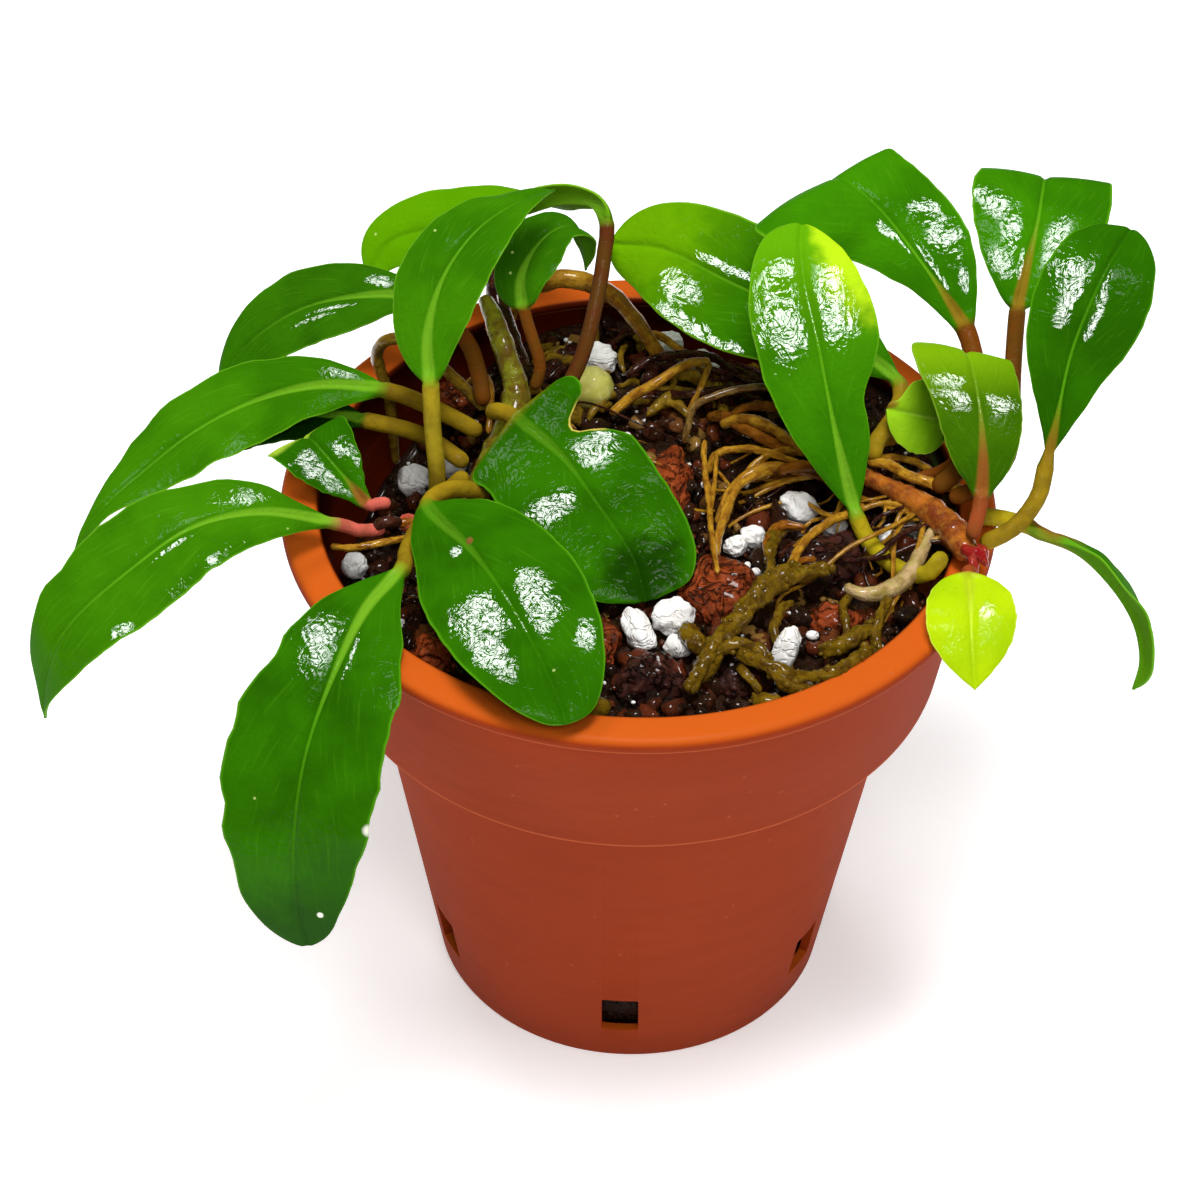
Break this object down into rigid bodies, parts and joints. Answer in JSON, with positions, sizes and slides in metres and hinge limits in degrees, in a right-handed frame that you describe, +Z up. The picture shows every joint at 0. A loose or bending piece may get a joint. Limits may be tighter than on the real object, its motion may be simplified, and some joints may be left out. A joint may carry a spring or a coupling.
{
  "type": "potted aquarium plant",
  "caption": "Bucephalandra aquarium plant with glossy dark green leaves, rooted in lava gravel and perlite in a round terracotta-coloured plastic nursery pot.",
  "frame": {"origin": "centre of the pot's foot, on the ground", "axes": "+Z up, -Y towards the viewer of the picture, +X to the right"},
  "size_m": [0.1404, 0.0968, 0.1077],
  "materials": {
    "pot": "moulded, satin",
    "substrate": "wet crushed gravel",
    "lava_red": "wet, wrinkled",
    "lava_dark": "wet, wrinkled",
    "perlite": "chalky, puffed",
    "pellet": "satin",
    "leaf_green": "wet, glossy",
    "leaf_deep_green": "wet, glossy",
    "leaf_light_green": "wet, glossy",
    "leaf_lime": "wet, satin",
    "stem_olive": "wet, satin",
    "stem_brown": "wet, satin",
    "root_gold": "wet, satin",
    "shoot_pink": "wet, satin"
  },
  "bodies": {
    "root": {"pot": "pot", "substrate_bed": "substrate", "lava_round": "lava_red", "lava_front_red": "lava_red", "lava_front_dark": "lava_dark", "lava_front_plum": "lava_dark", "lava_right_rough": "lava_dark", "lava_right_red": "lava_red", "lava_long_red": "lava_red", "lava_left_red": "lava_red", "lava_back_orange": "lava_red", "perlite_centre_long": "perlite", "perlite_centre_round": "perlite", "perlite_centre_small": "perlite", "perlite_front_long": "perlite", "perlite_right_big": "perlite", "perlite_right_small": "perlite", "perlite_back_left": "perlite", "perlite_back_right": "perlite", "perlite_deep_large": "perlite", "perlite_deep_small": "perlite", "perlite_deep_front": "perlite", "pellet_pale_green": "pellet", "rhizome_left": "stem_olive", "rhizome_right": "stem_brown", "shoot_left_pink": "shoot_pink", "stalk_dark_old": "stem_brown", "root_arch_left": "stem_olive", "root_arch_back": "root_gold", "root_gold_back": "root_gold", "root_dark": "stem_brown", "root_grey_arch": "root_gold", "root_gold_thick": "root_gold", "root_gold_low": "root_gold", "root_mossy_long": "stem_olive", "root_mossy_short": "stem_olive", "root_mossy_front": "stem_olive", "root_mossy_right": "stem_olive", "stipule_pale": "stem_olive", "leaf_hanging": "leaf_green", "leaf_left_low": "leaf_green", "leaf_left_middle": "leaf_green", "leaf_left_under": "leaf_deep_green", "leaf_left_high": "leaf_deep_green", "leaf_arching": "leaf_green", "leaf_small_arch": "leaf_deep_green", "leaf_back_pale": "leaf_light_green", "leaf_centre_pale": "leaf_light_green", "leaf_upright": "leaf_green", "leaf_top_folded": "leaf_green", "leaf_top_right": "leaf_green", "leaf_right_oval": "leaf_green", "leaf_red_vein": "leaf_green", "leaf_small_bitten": "leaf_light_green", "leaf_lime": "leaf_lime", "leaf_trailing_narrow": "leaf_green", "leaf_bitten_front": "leaf_green", "leaf_front": "leaf_green", "leaf_small_silver": "leaf_green"}
  },
  "joints": []
}
